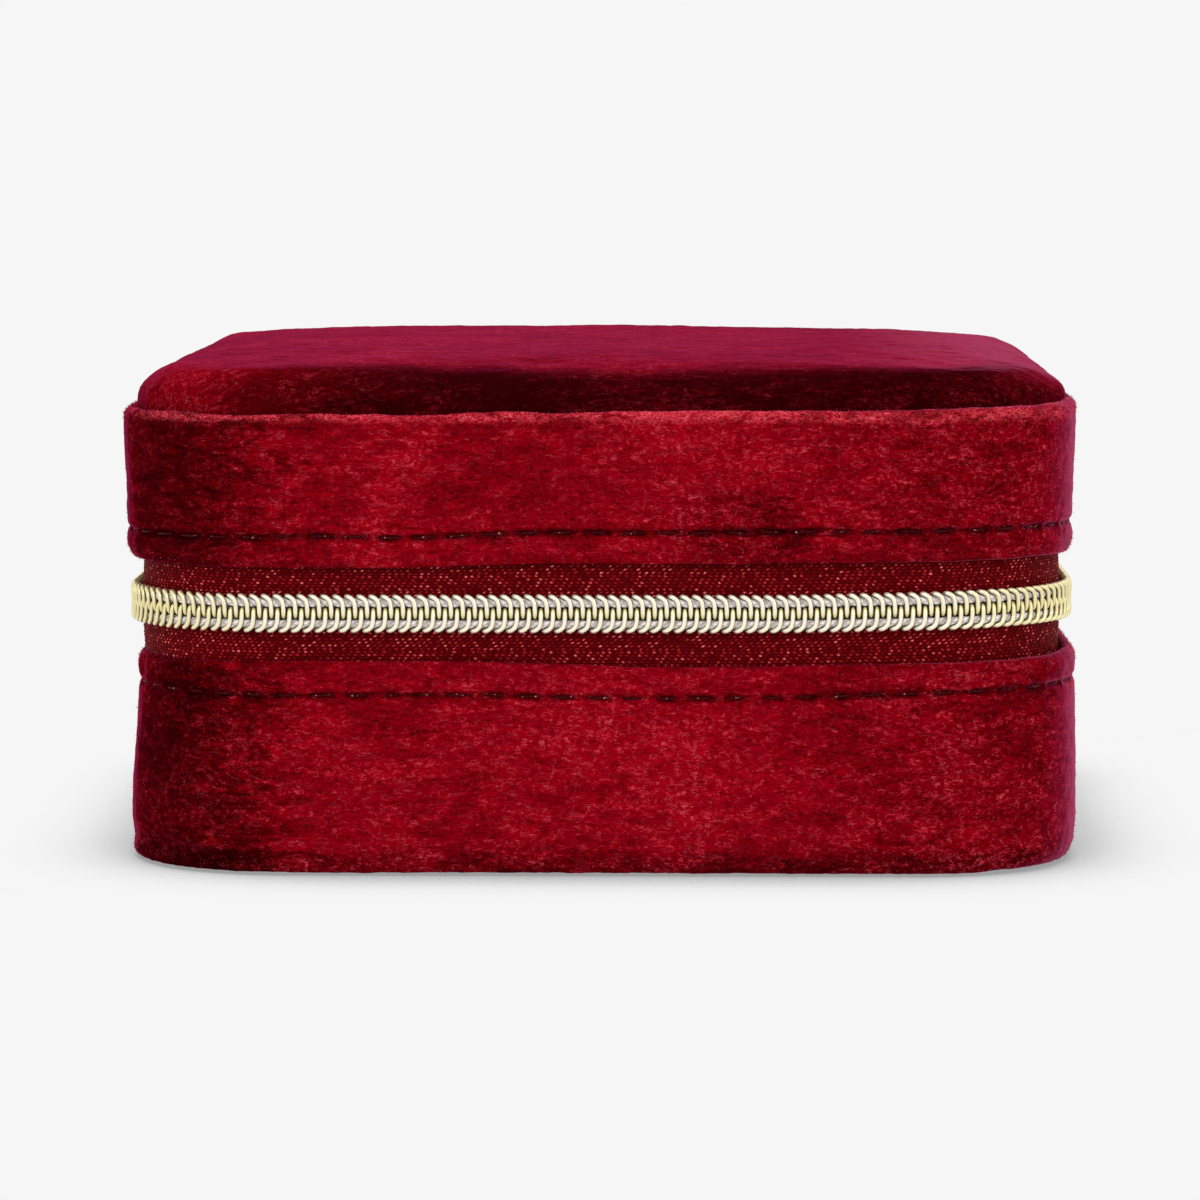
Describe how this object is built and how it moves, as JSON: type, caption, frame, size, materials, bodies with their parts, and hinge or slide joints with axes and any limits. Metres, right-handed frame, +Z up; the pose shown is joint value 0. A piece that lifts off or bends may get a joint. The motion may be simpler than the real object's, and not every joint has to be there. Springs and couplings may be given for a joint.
{
  "type": "travel jewelry case",
  "caption": "Square zip-around travel jewelry case: velvet-wrapped hard shells, padded lid, hinged at the back, lined inside with ring pads, dividers, hooks, mirror and pocket.",
  "frame": {"origin": "centre of the bottom panel, on the face the case stands on", "axes": "+Z up through the lid, -Y towards the front of the case, +Y towards the fabric hinge, +X to the right seen from the front"},
  "size_m": [0.1083, 0.1054, 0.0558],
  "materials": {
    "velvet": "short-pile velvet, deep crimson, strong grazing sheen",
    "thread": "twisted polyester sewing thread",
    "tape": "woven herringbone zip tape, dark red",
    "coil": "metallised nylon coil, pale gold",
    "cord": "spun filler cord",
    "gold": "polished pale gold plating",
    "board": "moulded grey board",
    "foam": "soft padding foam",
    "lining": "blush microsuede",
    "pocket": "gathered satin",
    "mirror": "flat silvered mirror"
  },
  "bodies": {
    "base": {"base_bottom_velvet": "velvet", "base_side_velvet": "velvet", "base_stitch_thread": "thread", "base_floor_foam": "foam", "base_wall_foam": "foam", "base_shell": "board", "base_lining": "lining", "base_floor_lining": "lining", "ring_partition": "lining", "zip_tape_lower": "tape", "zip_coil_lower": "coil", "zip_cord_lower": "cord", "hinge_web_lower": "velvet", "hinge_lining_lower": "lining", "ring_pad_1": "lining", "ring_pad_2": "lining", "ring_pad_3": "lining", "ring_pad_4": "lining", "ring_pad_5": "lining", "ring_pad_6": "lining", "ring_pad_7": "lining"},
    "lid": {"lid_side_velvet": "velvet", "lid_stitch_thread": "thread", "lid_top_velvet": "velvet", "lid_top_foam": "foam", "lid_wall_foam": "foam", "lid_shell": "board", "lid_lining": "lining", "lid_panel": "lining", "mirror": "mirror", "zip_tape_upper": "tape", "zip_coil_upper": "coil", "zip_cord_upper": "cord", "hinge_web_upper": "velvet", "hinge_lining_upper": "lining", "necklace_pocket": "pocket", "pocket_elastic": "pocket", "hook_anchor_1": "lining", "hook_anchor_2": "lining", "hook_anchor_3": "lining", "snap_stud_1": "gold", "snap_stud_2": "gold", "snap_stud_3": "gold"},
    "slider": {"slider_body": "gold"},
    "pull": {"zip_pull": "gold"},
    "divider_1": {"divider_1": "lining"},
    "divider_2": {"divider_2": "lining"},
    "hook_1": {"hook_strap_1": "lining", "snap_cap_1": "gold"},
    "hook_2": {"hook_strap_2": "lining", "snap_cap_2": "gold"},
    "hook_3": {"hook_strap_3": "lining", "snap_cap_3": "gold"}
  },
  "joints": [
    {"name": "lid_hinge", "type": "hinge", "parent": "base", "child": "lid", "pos_m": [0, 0.0533, 0.029], "axis": [-1, 0, 0], "range_deg": [0, 110]},
    {"name": "slider_run", "type": "slide", "parent": "base", "child": "slider", "axis": [0, -1, 0], "range_m": [0, 0.056]},
    {"name": "pull_swing", "type": "hinge", "parent": "slider", "child": "pull", "pos_m": [0.05422, 0.028, 0.029], "axis": [0, 0, -1], "range_deg": [0, 180]},
    {"name": "divider_1_lift", "type": "slide", "parent": "base", "child": "divider_1", "axis": [0, 0, 1], "range_m": [0, 0.018]},
    {"name": "divider_2_lift", "type": "slide", "parent": "base", "child": "divider_2", "axis": [0, 0, 1], "range_m": [0, 0.018]},
    {"name": "hook_1_flap", "type": "hinge", "parent": "lid", "child": "hook_1", "pos_m": [-0.024, -0.0424, 0.0443], "axis": [-1, 0, 0], "range_deg": [0, 80]},
    {"name": "hook_2_flap", "type": "hinge", "parent": "lid", "child": "hook_2", "pos_m": [0, -0.0424, 0.0443], "axis": [-1, 0, 0], "range_deg": [0, 80]},
    {"name": "hook_3_flap", "type": "hinge", "parent": "lid", "child": "hook_3", "pos_m": [0.024, -0.0424, 0.0443], "axis": [-1, 0, 0], "range_deg": [0, 80]}
  ]
}
